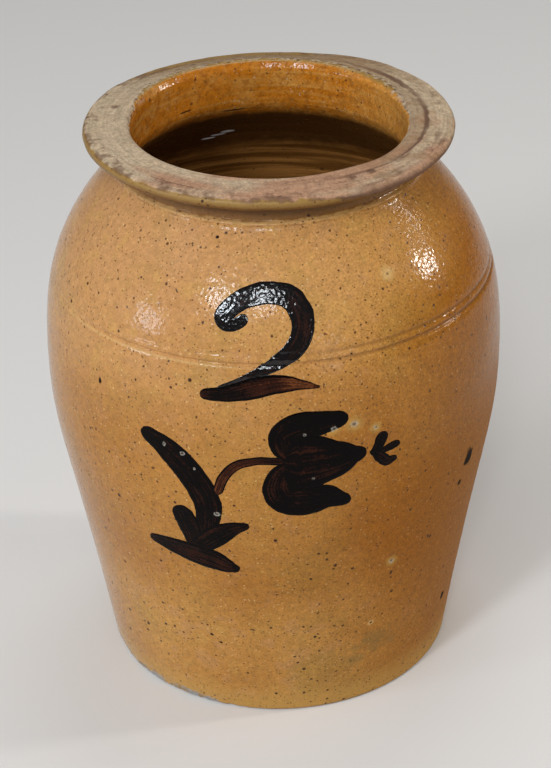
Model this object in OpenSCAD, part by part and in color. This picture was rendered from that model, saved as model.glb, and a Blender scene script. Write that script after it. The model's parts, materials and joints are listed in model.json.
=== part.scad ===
// Two-gallon storage crock
// A wheel-thrown stoneware jar with a flat foot, a full belly, a short coved neck and a flat
// flared rim. Two lines are incised round the shoulder. The capacity numeral and the flower
// sprig are brushed on the front wall in dark slip, one raised stroke at a time.
// Lengths are in millimetres. The jar stands on Z = 0 and its painted front faces -Y.

/* [Jar wall] */
// Height from the foot to the edge of the mouth
height = 292; // [260:1:330]
// Diameter of the foot
foot_d = 177; // [150:1:195]
// Lean of the wall where it leaves the foot, in degrees
foot_lean = 9; // [5:0.5:13]
// Radius of the foot's lower edge
foot_round = 2.5; // [1:0.5:5]
// Diameter of the belly at its widest
belly_d = 228.5; // [210:0.5:250]
// Height of the belly's widest part
belly_z = 172; // [150:1:185]
// Slope of the shoulder where it meets the neck, in degrees
shoulder_slope = 46; // [38:1:54]
// Thickness of the thrown wall
wall_t = 9; // [6:0.5:12]
// Thickness of the floor
floor_t = 11; // [7:0.5:16]
// Radius between the wall and the floor inside
floor_round = 20; // [10:1:30]

/* [Neck and rim] */
// Bore of the mouth
mouth_d = 134; // [115:1:146]
// Thickness of the clay at the neck
neck_t = 6.5; // [5:0.5:9]
// Height of the neck and rim above the shoulder
neck_h = 22; // [19:1:28]
// Width of the small ledge where the neck stands on the shoulder
collar_w = 2; // [1:0.5:4]
// Radius of the cove under the rim
cove_r = 6; // [3:0.5:8]
// Width of the rim from the mouth to its outer edge
rim_w = 23; // [18:0.5:28]
// Thickness of the rim at its outer edge
rim_t = 6; // [4:0.5:8]
// Fall of the rim's top from the mouth to its outer edge
rim_fall = 1.5; // [0.5:0.5:4]
// Extra thickness of the rim where it springs from the neck
rim_root = 2; // [0.5:0.5:4]
// Radius of the mouth's soft inner edge
lip_r = 3.5; // [1:0.5:5]
// Drop over which the throat opens into the shoulder inside
throat_blend = 8; // [5:1:14]

/* [Shoulder lines and throwing rings] */
// Drop of the lower incised line below the top of the shoulder
line_drop = 54; // [40:1:70]
// Spacing of the two incised lines
line_gap = 4.3; // [3:0.1:8]
// Width of an incised line
line_w = 1.6; // [1:0.1:2.5]
// Depth of an incised line
line_depth = 0.5; // [0.2:0.1:1]
// Spacing of the throwing rings inside
ring_pitch = 15; // [10:1:25]
// Depth of the throwing rings inside
ring_depth = 0.6; // [0.2:0.1:1.2]

/* [Brushed slip] */
// Thickness of the fired slip
slip_t = 0.4; // [0.2:0.1:1]
// Hair gap between the curved wall and the slip that is seated on it
slip_seat = 0.05; // [0.02:0.01:0.1]
// Height of the capacity numeral
numeral_h = 52; // [40:1:60]
// Place of the numeral's centre to the right of the jar's axis
numeral_x = -7; // [-20:1:20]
// Rise of the numeral's centre above the lower incised line
numeral_rise = 8; // [0:1:12]
// Width of the flower sprig
sprig_w = 123; // [95:1:130]
// Place of the sprig's centre to the right of the jar's axis
sprig_x = -2; // [-10:1:10]
// Drop of the sprig's centre below the lower incised line
sprig_drop = 74; // [72:1:84]

/* [Hidden] */
$fn = 180;

clay = "#b98a45";
slip = "#1f120d";

foot_r = foot_d / 2;
belly_r = belly_d / 2;
mouth_r = mouth_d / 2;
neck_r = mouth_r + neck_t;
collar_r = neck_r + collar_w;
rim_r = mouth_r + rim_w;
shoulder_z = height - neck_h;
line_z = shoulder_z - line_drop;

// How far the wall keeps to its slope at each end of its two curves, as shares of their heights
foot_hold = 0.75;
under_belly_hold = 0.25;
over_belly_hold = 0.42;
shoulder_hold = 0.46;

// Height of one band of the turned wall, and bands in a short round
band_h = 7;
round_bands = 5;

function steps(a, b, n) = [for (i = [0 : n]) a + (b - a) * i / n];
function arc(c, r, a0, a1) = [for (a = steps(a0, a1, round_bands)) c + r * [cos(a), sin(a)]];
function reversed(p) = [for (i = [len(p) - 1 : -1 : 0]) p[i]];
function bend3(p, t) =
    pow(1 - t, 3) * p[0] + 3 * pow(1 - t, 2) * t * p[1] + 3 * (1 - t) * t * t * p[2] + t * t * t * p[3];
function bend2(a, b, c) =
    [for (t = steps(0, 1, round_bands)) pow(1 - t, 2) * a + 2 * (1 - t) * t * b + t * t * c];

// The wall's outline from the foot to the belly, and from the belly to the neck
shoulder_rise = shoulder_z - belly_z;
lower_wall = [
    [foot_r, 0],
    [foot_r, 0] + foot_hold * belly_z * [sin(foot_lean), cos(foot_lean)],
    [belly_r, belly_z * (1 - under_belly_hold)],
    [belly_r, belly_z]
];
upper_wall = [
    [belly_r, belly_z],
    [belly_r, belly_z + over_belly_hold * shoulder_rise],
    [collar_r, shoulder_z] + shoulder_hold * shoulder_rise * [cos(shoulder_slope), -sin(shoulder_slope)],
    [collar_r, shoulder_z]
];

// Radius of the outer wall at a height, found by halving the curve
function curve_at(p, z, lo = 0, hi = 1, halvings = 30) =
    let (mid = (lo + hi) / 2)
    halvings == 0 ? bend3(p, mid)
    : bend3(p, mid)[1] < z ? curve_at(p, z, mid, hi, halvings - 1)
    : curve_at(p, z, lo, mid, halvings - 1);
function wall_r(z) = curve_at(z < belly_z ? lower_wall : upper_wall, z)[0];

// Run of the wall, and the inner wall a clay thickness behind it
slope_step = 0.5;
function wall_run(z) = (wall_r(z + slope_step) - wall_r(z - slope_step)) / (2 * slope_step);
function inner_wall(z) = [wall_r(z), z] + wall_t * [-1, wall_run(z)] / norm([1, wall_run(z)]);

// Outer wall in bands, with the two incised lines cut into it
function bands(z0, z1) = [for (z = steps(z0, z1, max(1, round((z1 - z0) / band_h)))) [wall_r(z), z]];
function incised(z) = [[wall_r(z) - line_depth, z]];
upper_line_z = line_z + line_gap;
outer_wall = concat(
    bands(foot_round, line_z - line_w / 2),
    incised(line_z),
    bands(line_z + line_w / 2, upper_line_z - line_w / 2),
    incised(upper_line_z),
    bands(upper_line_z + line_w / 2, shoulder_z)
);

// Foot's edge, neck, cove, rim and lip
foot_edge = arc([wall_r(foot_round) - foot_round, foot_round], foot_round, -90, 0);
rim_top_z = height - rim_fall;
under_rim_z = rim_top_z - rim_t - rim_root;
cove = min(cove_r, under_rim_z - shoulder_z - collar_w);
neck_and_rim = concat(
    arc([neck_r, shoulder_z], collar_w, 0, 90),
    arc([neck_r + cove, under_rim_z - cove], cove, 180, 90),
    arc([rim_r - rim_t / 2, rim_top_z - rim_t / 2], rim_t / 2, -90, 90),
    arc([mouth_r + lip_r, height - lip_r], lip_r, 90, 180)
);

// Inside, from the straight throat down to the floor
blend_z = shoulder_z - throat_blend;
inner_top = inner_wall(blend_z);
throat_corner_z = inner_top[1] - (inner_top[0] - mouth_r) / wall_run(blend_z - slope_step);
throat_z = throat_corner_z + throat_blend / 2;
throat = bend2([mouth_r, throat_z], [mouth_r, throat_corner_z], inner_top);
inner_foot_z = floor_t + floor_round;
inner_foot = inner_wall(inner_foot_z);
floor_corner = bend2(
    inner_foot,
    [inner_foot[0] - (inner_foot[1] - floor_t) * wall_run(inner_foot_z), floor_t],
    [inner_foot[0] - floor_round, floor_t]
);

// Throwing rings: shallow finger grooves that climb the inner wall, four bands to a ring
ring_bands = 4;
ring_count = round((blend_z - inner_foot_z) / ring_pitch);
ringed_wall = [
    for (u = steps(1, 0, ring_bands * ring_count))
    inner_wall(inner_foot_z + u * (blend_z - inner_foot_z))
    + [ring_depth * pow(sin(180 * ring_count * u), 2), 0]
];

// Brush strokes: points along the middle of each stroke, right and up from the middle of its
// motif, with the width of the brush there, at the size the motif was drawn
numeral_drawn_h = 52;
bow_stroke = [
    [-6.6, 11.8, 4.2], [-10, 9.2, 4.6], [-13.8, 8, 4.8], [-17.2, 9.8, 5.2], [-17, 14, 5.8],
    [-13.4, 17, 6.8], [-9.4, 18.8, 7.8], [-3, 21, 8.8], [4, 21.8, 9.2], [11, 20.8, 9.8],
    [17.2, 17.4, 10.6], [20.5, 12, 10.8], [21, 7, 11], [19, 1.8, 10.2], [14.5, -2.8, 8.4],
    [8, -7, 6.4], [0, -11.2, 4.2], [-9, -16, 4], [-18, -20.2, 3.6]
];
foot_stroke = [
    [-25, -23.2, 5], [-15, -21.8, 7.6], [-4, -18.9, 10.2], [5, -17.1, 9.2], [12, -16.8, 7.6],
    [19, -17.6, 4.4], [27, -19.4, 0.8]
];
sprig_drawn_w = 123;
long_leaf_stroke = [
    [-57.4, 31.2, 7], [-49.4, 25.8, 11.4], [-41, 17.2, 14], [-34.4, 6.8, 13.8], [-31, -4, 13],
    [-32, -17, 10]
];
small_leaf_stroke = [[-43.4, -11, 9.2], [-40, -19, 9.6], [-37.5, -28, 8.6]];
right_leaf_stroke = [[-34, -28, 11], [-27, -21.2, 12.4], [-19, -16.6, 9.4], [-11.8, -13.4, 1.8]];
low_leaf_stroke = [
    [-58.8, -33.6, 4.4], [-49, -34.4, 10.4], [-38, -36, 13], [-27, -39.5, 12.2], [-18.8, -44.2, 5.2]
];
stem_stroke = [[-26, 7, 4.4], [-23, 15.2, 4.6], [-17, 22.2, 4.4], [-7, 25.2, 3.8], [6, 24.8, 3.6]];
upper_petal_stroke = [
    [31.3, 44.8, 8.6], [21, 43.8, 13], [12, 42.6, 15], [5.4, 38.6, 13.4], [5, 32.6, 10.5], [8.6, 27, 8]
];
heart_stroke = [
    [6.4, 24.4, 6.4], [10, 22.8, 20], [15, 23, 28.4], [23, 23.5, 27.6], [30, 24.2, 20.5],
    [37, 24.8, 14], [43.4, 24.7, 4.4]
];
lower_petal_stroke = [
    [33.4, -0.8, 7], [25, 2.2, 14.4], [15, 1.4, 17.2], [6, 2.8, 16.4], [2.2, 8.8, 14], [4, 16.4, 12],
    [8, 21, 8]
];
bud_top_stroke = [[48.6, 24, 3], [51, 28, 4.8], [52.6, 31.4, 4.2]];
bud_side_stroke = [[53, 22, 2.4], [56.8, 22.8, 3.6], [60, 24.4, 3]];
bud_low_stroke = [[46.8, 24, 1.6], [50.4, 20, 4.2], [54, 16.8, 4.8], [57.4, 17.4, 3]];

// Smooth curve through four neighbouring points of a stroke, and its direction
stroke_steps = 4;
function curve_point(a, b, c, d, t) =
    (2 * b + (c - a) * t + (2 * a - 5 * b + 4 * c - d) * t * t + (3 * b - a - 3 * c + d) * t * t * t) / 2;
function curve_way(a, b, c, d, t) =
    ((c - a) + 2 * (2 * a - 5 * b + 4 * c - d) * t + 3 * (3 * b - a - 3 * c + d) * t * t) / 2;

// Edge of a stroke: each sample gives a point beside the path, left (1) or right (-1)
function with_ends(p) = concat([2 * p[0] - p[1]], p, [2 * p[len(p) - 1] - p[len(p) - 2]]);
function across(way) = [-way[1], way[0]] / norm([way[0], way[1]]);
function edge(p, side) =
    let (q = with_ends(p))
    [
        for (i = [0 : len(p) - 2])
        for (k = [0 : i == len(p) - 2 ? stroke_steps : stroke_steps - 1])
        let (
            t = k / stroke_steps,
            at = curve_point(q[i], q[i + 1], q[i + 2], q[i + 3], t),
            way = curve_way(q[i], q[i + 1], q[i + 2], q[i + 3], t)
        )
        [at[0], at[1]] + side * across(way) * at[2] / 2
    ];
function round_end(from, to) =
    let (
        c = (from + to) / 2,
        r = norm(from - c),
        start = atan2(from[1] - c[1], from[0] - c[0]),
        turn = 180 / (round_bands + 1)
    )
    [for (i = [1 : round_bands]) c + r * [cos(start - turn * i), sin(start - turn * i)]];
function outline(p) =
    let (left = edge(p, 1), right = edge(p, -1), last = len(left) - 1)
    concat(left, round_end(left[last], right[last]), reversed(right), round_end(right[0], left[0]));

// A stroke's outline run through the front of the jar, for the numeral or the sprig
module numeral_prism(stroke) {
    translate([numeral_x, 0, line_z + numeral_rise])
        rotate([90, 0, 0])
            linear_extrude(height = belly_d)
                polygon(outline(stroke) * numeral_h / numeral_drawn_h);
}

module sprig_prism(stroke) {
    translate([sprig_x, 0, line_z - sprig_drop])
        rotate([90, 0, 0])
            linear_extrude(height = belly_d)
                polygon(outline(stroke) * sprig_w / sprig_drawn_w);
}

// A coat of slip over the whole painted height of the wall, seated on its bands
module slip_coat(z0, z1) {
    seat = [for (p = outer_wall) if (p[1] > z0 && p[1] < z1) p + [slip_seat, 0]];
    rotate_extrude()
        polygon(concat(seat, reversed([for (p = seat) p + [slip_t, 0]])));
}

module numeral_stroke(stroke, over = []) {
    color(slip)
        difference() {
            intersection() {
                slip_coat(line_z + numeral_rise - numeral_h, line_z + numeral_rise + numeral_h);
                numeral_prism(stroke);
            }
            for (earlier = over) numeral_prism(earlier);
        }
}

module sprig_stroke(stroke, over = []) {
    color(slip)
        difference() {
            intersection() {
                slip_coat(line_z - sprig_drop - sprig_w / 2, line_z - sprig_drop + sprig_w / 2);
                sprig_prism(stroke);
            }
            for (earlier = over) sprig_prism(earlier);
        }
}

module crock_body() {
    color(clay)
        rotate_extrude()
            polygon(concat(
                [[0, 0]], foot_edge, [for (i = [1 : len(outer_wall) - 2]) outer_wall[i]], neck_and_rim,
                throat, [for (i = [1 : len(ringed_wall) - 2]) ringed_wall[i]], floor_corner, [[0, floor_t]]
            ));
}

module numeral_bow() numeral_stroke(bow_stroke);
module numeral_foot() numeral_stroke(foot_stroke, [bow_stroke]);
module long_leaf() sprig_stroke(long_leaf_stroke);
module small_leaf() sprig_stroke(small_leaf_stroke, [long_leaf_stroke]);
module right_leaf() sprig_stroke(right_leaf_stroke, [long_leaf_stroke, small_leaf_stroke]);
module low_leaf() sprig_stroke(low_leaf_stroke, [small_leaf_stroke, right_leaf_stroke]);
module heart_petal() sprig_stroke(heart_stroke);
module upper_petal() sprig_stroke(upper_petal_stroke, [heart_stroke]);
module lower_petal() sprig_stroke(lower_petal_stroke, [heart_stroke, upper_petal_stroke]);
module stem()
    sprig_stroke(stem_stroke, [long_leaf_stroke, heart_stroke, upper_petal_stroke, lower_petal_stroke]);
module bud_low() sprig_stroke(bud_low_stroke);
module bud_top() sprig_stroke(bud_top_stroke, [bud_low_stroke]);
module bud_side() sprig_stroke(bud_side_stroke, [bud_low_stroke, bud_top_stroke]);

crock_body();
numeral_bow();
numeral_foot();
long_leaf();
small_leaf();
right_leaf();
low_leaf();
stem();
upper_petal();
heart_petal();
lower_petal();
bud_top();
bud_side();
bud_low();
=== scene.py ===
import bisect
import json
import math

import bmesh
import bpy
from mathutils import Euler, Matrix, Vector, geometry


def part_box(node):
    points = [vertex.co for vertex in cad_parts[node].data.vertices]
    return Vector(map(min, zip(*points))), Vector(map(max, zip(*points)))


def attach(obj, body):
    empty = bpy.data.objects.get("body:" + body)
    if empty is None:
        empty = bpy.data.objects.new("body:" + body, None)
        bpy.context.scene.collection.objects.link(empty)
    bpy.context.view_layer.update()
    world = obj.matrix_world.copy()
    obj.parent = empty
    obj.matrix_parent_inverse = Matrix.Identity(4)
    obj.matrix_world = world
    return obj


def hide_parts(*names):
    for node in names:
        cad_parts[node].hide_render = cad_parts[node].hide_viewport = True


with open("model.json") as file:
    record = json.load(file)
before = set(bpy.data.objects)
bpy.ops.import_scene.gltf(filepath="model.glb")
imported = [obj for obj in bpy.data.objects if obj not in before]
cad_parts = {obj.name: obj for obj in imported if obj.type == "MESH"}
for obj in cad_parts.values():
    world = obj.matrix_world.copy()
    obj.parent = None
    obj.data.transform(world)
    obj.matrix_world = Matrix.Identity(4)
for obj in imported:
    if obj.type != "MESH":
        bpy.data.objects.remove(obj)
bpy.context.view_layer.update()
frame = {"record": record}
bpy.ops.object.select_all(action="DESELECT")

# Jar body: one piece of stoneware clay, thrown on the wheel and turned flat at the foot.
# Its outline runs from under the foot up the outside, over the rim and down the inside
# to the floor, and is spun once round the wheel's axis.
MM = 0.001
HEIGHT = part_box("crock_body")[1].z
BELLY_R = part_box("crock_body")[1].x
MOUTH_R = frame["record"]["mounts"][1]["dims"]["r_mm"] * MM
FOOT_R = 88.5 * MM
FOOT_LEAN = math.radians(9)
FOOT_PULL = 0.75
FOOT_ROUND = 2.5 * MM
BELLY_Z = 172 * MM
BELLY_PULL_DOWN = 0.25
BELLY_PULL_UP = 0.42
SHOULDER_SLOPE = math.radians(46)
SHOULDER_PULL = 0.46
SHOULDER_DROP = 22 * MM
SHOULDER_Z = HEIGHT - SHOULDER_DROP
WALL_T = 9 * MM
FLOOR_T = 11 * MM
FLOOR_ROUND = 20 * MM
FLOOR_PULL = 3 * MM
NECK_WALL = 6.5 * MM
NECK_R = MOUTH_R + NECK_WALL
COLLAR_W = 2 * MM
COVE_R = 6 * MM
STEP_DROP = 1.3 * MM
STEP_FACE = Vector((-0.60, 1.12)) * MM
STEP_MARKS = (0.0, 0.15, 0.85, 1.0)
BAND_UP = Vector((-0.3, 1.9)) * MM
RIDGE_TOP = Vector((-1.2, 0.5)) * MM
NECK_FILLET = 1.0 * MM
RIM_W = 23 * MM
RIM_R = MOUTH_R + RIM_W
RIM_T = 6 * MM
RIM_FALL = 1.5 * MM
RIM_ROOT = 2 * MM
LIP_R = 3.5 * MM
THROAT_BLEND = 8 * MM
LINE_DROP = 54 * MM
LINE_Z = SHOULDER_Z - LINE_DROP
LINE_GAP = 4.3 * MM
LINE_REACH = 1.6 * MM
LINE_DEPTH = 0.85 * MM
UPPER_LINE_SHARE = 0.35
BAND_H = 3.2 * MM
RIPPLE_PITCH = 9.1 * MM
RIPPLE_BEAT = 3.7
RIPPLE_DEPTH = 0.06 * MM
RING_PITCH = 7.5 * MM
RING_DEPTH = 0.32 * MM
TURNS = 288
CURVE_POINTS = 400

foot_point = Vector((FOOT_R, 0))
belly_point = Vector((BELLY_R, BELLY_Z))
collar_point = Vector((NECK_R + COLLAR_W, SHOULDER_Z))
rise = SHOULDER_Z - BELLY_Z
foot_way = Vector((math.sin(FOOT_LEAN), math.cos(FOOT_LEAN)))
shoulder_way = Vector((math.cos(SHOULDER_SLOPE), -math.sin(SHOULDER_SLOPE)))
wall_curve = geometry.interpolate_bezier(
    foot_point, foot_point + FOOT_PULL * BELLY_Z * foot_way,
    belly_point - Vector((0, BELLY_PULL_DOWN * BELLY_Z)), belly_point, CURVE_POINTS,
)
wall_curve += geometry.interpolate_bezier(
    belly_point, belly_point + Vector((0, BELLY_PULL_UP * rise)),
    collar_point + SHOULDER_PULL * rise * shoulder_way, collar_point, CURVE_POINTS,
)[1:]
wall_heights = [p.y for p in wall_curve]


def wall_radius(z):
    """Radius of the outer wall at a height, between neighbouring points of its curve."""
    i = min(max(bisect.bisect(wall_heights, z), 1), len(wall_curve) - 1)
    a, b = wall_curve[i - 1], wall_curve[i]
    return a.x + (b.x - a.x) * (z - a.y) / (b.y - a.y)


def inner_wall(z):
    """Point of the inner wall, one clay thickness behind the outer wall at a height."""
    run = (wall_radius(z + MM) - wall_radius(z - MM)) / (2 * MM)
    return Vector((wall_radius(z), z)) + WALL_T * Vector((-1, run)).normalized()


def arc(centre, radius, start, end, count):
    """Points along a round edge, from one angle to another, in degrees."""
    angles = [math.radians(start + (end - start) * i / count) for i in range(count + 1)]
    return [Vector(centre) + radius * Vector((math.cos(a), math.sin(a))) for a in angles]


def spaced(a, b, step):
    """Values from a to b, about one step apart."""
    count = max(1, round(abs(b - a) / step))
    return [a + (b - a) * i / count for i in range(count + 1)]


def rounded_corner(a, corner, b, count):
    """A soft corner from a to b that leaves and meets the two straight runs."""
    shares = [i / count for i in range(count + 1)]
    return [(1 - t) ** 2 * a + 2 * t * (1 - t) * corner + t * t * b for t in shares]


def incised(z):
    """Depth of the two incised shoulder lines at a height."""
    lower, upper = abs(z - LINE_Z), abs(z - LINE_Z - LINE_GAP)
    depth, off = (LINE_DEPTH, lower) if lower < upper else (UPPER_LINE_SHARE * LINE_DEPTH, upper)
    return depth * (1 + math.cos(math.pi * off / LINE_REACH)) / 2 if off < LINE_REACH else 0.0


# Under the foot, the foot's edge and the outer wall with its faint finger ripples
LINE_STEP = LINE_REACH / 4
UNDER_STEP = 16 * MM
line_low, line_high = LINE_Z - LINE_REACH, LINE_Z + LINE_GAP + LINE_REACH
wall_heights_used = (
    spaced(FOOT_ROUND, line_low, BAND_H)[1:-1]
    + spaced(line_low, line_high, LINE_STEP)
    + spaced(line_high, SHOULDER_Z - STEP_DROP, BAND_H)[1:-1]
)
outside = [Vector((r, 0)) for r in spaced(0, FOOT_R - 2 * FOOT_ROUND, UNDER_STEP)]
outside += arc((wall_radius(FOOT_ROUND) - FOOT_ROUND, FOOT_ROUND), FOOT_ROUND, -90, 0, count=5)
for z in wall_heights_used:
    ripple = RIPPLE_DEPTH * math.sin(math.tau * z / RIPPLE_PITCH)
    ripple *= math.sin(math.tau * z / (RIPPLE_BEAT * RIPPLE_PITCH))
    outside.append(Vector((wall_radius(z) + ripple - incised(z), z)))

# Neck with its fine ridge and cove, the flat flared rim and the mouth's soft inner edge
RIM_STEP = 1.6 * MM
rim_edge = HEIGHT - RIM_FALL
under_rim = rim_edge - RIM_T - RIM_ROOT
cove = min(COVE_R, under_rim - SHOULDER_Z - COLLAR_W)
step_z = SHOULDER_Z - STEP_DROP
step_point = Vector((wall_radius(step_z), step_z))
ridge_point = step_point + STEP_FACE + BAND_UP
recess = Vector((NECK_R, (ridge_point + RIDGE_TOP).y))
outside += [step_point + mark * STEP_FACE for mark in STEP_MARKS]
outside += rounded_corner(ridge_point - BAND_UP / 3, ridge_point, ridge_point + RIDGE_TOP / 2, count=4)
outside += rounded_corner(ridge_point + RIDGE_TOP, recess, recess + Vector((0, NECK_FILLET)), count=3)
outside += arc((NECK_R + cove, under_rim - cove), cove, 180, 90, count=6)
outside += arc((RIM_R - RIM_T / 2, rim_edge - RIM_T / 2), RIM_T / 2, -90, 90, count=10)
rim_inner = MOUTH_R + LIP_R
for r in spaced(RIM_R - RIM_T / 2, rim_inner, RIM_STEP)[1:-1]:
    share = (r - rim_inner) / (RIM_R - RIM_T / 2 - rim_inner)
    outside.append(Vector((r, HEIGHT - RIM_FALL * share)))
lip = arc((rim_inner, HEIGHT - LIP_R), LIP_R, 90, 180, count=10)

# Throat, ringed inner wall, soft corner and floor
THROAT_STEP = 3 * MM
RING_POINTS = 4
blend_z = SHOULDER_Z - THROAT_BLEND
inner_top = inner_wall(blend_z)
run = (wall_radius(blend_z) - wall_radius(blend_z - MM)) / MM
throat_corner = Vector((MOUTH_R, inner_top.y - (inner_top.x - MOUTH_R) / run))
throat_low = throat_corner + Vector((0, THROAT_BLEND / 2))
inside = [Vector((MOUTH_R, z)) for z in spaced(HEIGHT - LIP_R, throat_low.y, THROAT_STEP)[1:-1]]
inside += rounded_corner(throat_low, throat_corner, inner_top, count=6)
inner_foot = inner_wall(FLOOR_T + FLOOR_ROUND)
for z in spaced(blend_z, FLOOR_T + FLOOR_ROUND, RING_PITCH / RING_POINTS)[1:-1]:
    groove = RING_DEPTH * math.sin(math.pi * z / RING_PITCH) ** 2
    inside.append(inner_wall(z) + Vector((groove, 0)))
floor_edge = Vector((inner_foot.x - FLOOR_ROUND, FLOOR_T))
inside += rounded_corner(inner_foot, Vector((inner_foot.x - FLOOR_PULL, FLOOR_T)), floor_edge, count=8)
inside += [Vector((r, FLOOR_T)) for r in spaced(floor_edge.x, 0, UNDER_STEP)[1:]]
outline = outside + lip + inside

# The outline is drawn point by point from under the foot, and spun
MERGE_GAP = 0.02 * MM
bpy.ops.mesh.primitive_plane_add(size=MM)
jar = bpy.context.object
jar.name = jar.data.name = "stoneware_jar"
bpy.ops.object.mode_set(mode="EDIT")
bpy.ops.mesh.merge(type="CENTER")
pen = Vector((0, 0))
for point in outline[1:]:
    step = point - pen
    bpy.ops.mesh.extrude_vertices_move(TRANSFORM_OT_translate={"value": (step.x, 0, step.y)})
    pen = point
bpy.ops.mesh.select_all(action="SELECT")
bpy.ops.mesh.spin(steps=TURNS, angle=math.tau, center=(0, 0, 0), axis=(0, 0, 1))
bpy.ops.mesh.select_all(action="SELECT")
bpy.ops.mesh.remove_doubles(threshold=MERGE_GAP)
bpy.ops.mesh.normals_make_consistent(inside=False)
bpy.ops.object.mode_set(mode="OBJECT")
bpy.ops.object.shade_smooth()

# Small faults of the making and of use: the wheel's wobble, glaze in the incised lines, a worn
# ledge on the rim's right side, a sagged back edge, and chips along the foot at the left
WOBBLE_SIZE = 90 * MM
WOBBLE_DEPTH = 0.9 * MM
FILLED_TURN = 15
FILLED_MOST = 0.9
LEDGE_R = 76.5 * MM
LEDGE_SOFT = 0.9 * MM
LEDGE_DROP = 1.2 * MM
SAG_DROP = 1.9 * MM
WEAR_SIZE = 14 * MM
WEAR_DEPTH = 0.7 * MM
LIP_WEAR = 0.4 * MM
LIP_TURN = 27
CHIP_SIZE = 4 * MM
CHIP_DEPTH = 1.5 * MM
CHIP_MIDDLE = 0.1


def below(drop):
    """A height by its drop below the jar's top, in millimetres."""
    return HEIGHT - drop * MM


def off_axis(co):
    """How far a point lies from the wheel's axis."""
    return math.hypot(co.x, co.y)


def way_round(co):
    """Where a point lies round the jar, in degrees from its right towards its back."""
    return math.degrees(math.atan2(co.y, co.x))


def eased(value, low, high):
    """0 below low, 1 above high and a soft rise between; it falls where low is above high."""
    share = min(max((value - low) / (high - low), 0.0), 1.0)
    return share * share * (3 - 2 * share)


def pushed(piece, name, weight, depth, direction, size=None, middle=0.5):
    """Pushes a piece's surface where weight(co) is above nought, by a cloudy depth or an even one."""
    group = piece.vertex_groups.new(name=name)
    for vertex in piece.data.vertices:
        share = weight(vertex.co)
        if share > 0:
            group.add([vertex.index], share, "REPLACE")
    bpy.ops.object.modifier_add(type="DISPLACE")
    push = piece.modifiers[-1]
    push.vertex_group = name
    push.direction = direction
    push.strength = depth
    push.mid_level = 0
    if size:
        push.mid_level = middle
        push.texture = bpy.data.textures.new(name, "CLOUDS")
        push.texture.noise_scale = size
    bpy.ops.object.modifier_apply(modifier=push.name)


def wobble_share(co):
    """The whole wall, but not the flat foot."""
    return eased(co.z, 4 * MM, 40 * MM)


def filled_share(co):
    """The stretch of the incised lines, at the jar's left, that glaze has filled."""
    away = abs(math.degrees(math.atan2(co.y, -co.x)) + FILLED_TURN)
    off_wall = off_axis(co) > wall_radius(min(co.z, SHOULDER_Z)) - WALL_T / 2
    return FILLED_MOST * eased(away, 32, 14) * incised(co.z) / LINE_DEPTH if off_wall else 0.0


def ledge_share(co):
    """The inner part of the rim's top, at its right side, that is worn down to a ledge."""
    turn = way_round(co)
    ends = eased(turn, -62, -40) * eased(turn, 62, 38)
    inner = eased(off_axis(co), LEDGE_R + LEDGE_SOFT, LEDGE_R - LEDGE_SOFT)
    return ends * inner * eased(co.z, below(6), below(3))


def sag_share(co):
    """The rim's outer edge at the back, which sags a little."""
    turn = way_round(co)
    ends = eased(turn, 50, 85) * eased(turn, 160, 120)
    return ends * eased(off_axis(co), 71 * MM, 86 * MM) * eased(co.z, below(14), below(8))


def wear_share(co):
    """The rim's outer edge, all the way round."""
    return eased(off_axis(co), 82 * MM, 88 * MM) * eased(co.z, below(12), below(7))


def lip_share(co):
    """The round of the mouth's inner edge, most where the top turns into the throat."""
    side = math.degrees(math.atan2(co.z - HEIGHT + LIP_R, rim_inner - off_axis(co)))
    return max(0.0, 1 - ((side - LIP_TURN) / LIP_TURN) ** 2) * eased(co.z, below(4.8), below(3.2))


def chip_share(co):
    """The foot's edge at the front left."""
    turn = way_round(co)
    ends = eased(turn, -170, -155) * eased(turn, -95, -108)
    return ends * eased(co.z, 7 * MM, 1.5 * MM) * eased(off_axis(co), 84 * MM, 88 * MM)


pushed(jar, "wheel_wobble", wobble_share, WOBBLE_DEPTH, "NORMAL", WOBBLE_SIZE)
pushed(jar, "filled_line", filled_share, LINE_DEPTH, "NORMAL")
pushed(jar, "rim_ledge", ledge_share, -LEDGE_DROP, "Z")
pushed(jar, "soft_lip", lip_share, -LIP_WEAR, "NORMAL")
pushed(jar, "rim_sag", sag_share, -SAG_DROP, "Z")
pushed(jar, "rim_wear", wear_share, WEAR_DEPTH, "NORMAL", WEAR_SIZE)
pushed(jar, "foot_chips", chip_share, -CHIP_DEPTH, "NORMAL", CHIP_SIZE, CHIP_MIDDLE)
jar.vertex_groups.clear()

# Which side of the clay each point lies on, for the two glazes: 0 outside, 1 inside the mouth
inside_share = jar.data.attributes.new("inside", "FLOAT", "POINT")
for vertex in jar.data.vertices:
    r, z = off_axis(vertex.co), vertex.co.z
    if z > SHOULDER_Z:
        share = eased(r, rim_inner, MOUTH_R)
    else:
        share = 1.0 if r < wall_radius(max(z, 0)) - WALL_T / 2 and z > FLOOR_T / 2 else 0.0
    inside_share.data[vertex.index].value = share

# Glaze and bare clay: ochre salt glaze outside with iron specks, amber to brown glaze
# inside, and dry clay left on the rim's top, at chips along the foot and underneath. All
# is fired onto the jar in one go.
OCHRE = (0.605, 0.289, 0.060, 1)
OCHRE_DEEP = (0.34, 0.108, 0.004, 1)
PINK_TAN = (0.57, 0.292, 0.122, 1)
OLIVE = (0.42, 0.245, 0.055, 1)
YELLOW = (0.62, 0.352, 0.090, 1)
RIM_SIDE = (0.29, 0.178, 0.046, 1)
COVE_BROWN = (0.12, 0.043, 0.004, 1)
RIGHT_SHADE_BROWN = (0.23, 0.100, 0.006, 1)
PALE_DOT = (0.86, 0.60, 0.26, 1)
FRECKLE = (0.20, 0.080, 0.018, 1)
IRON_SPECK = (0.050, 0.018, 0.007, 1)
AMBER = (0.50, 0.165, 0.012, 1)
AMBER_PALE = (0.60, 0.31, 0.075, 1)
AMBER_RED = (0.30, 0.080, 0.010, 1)
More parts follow.
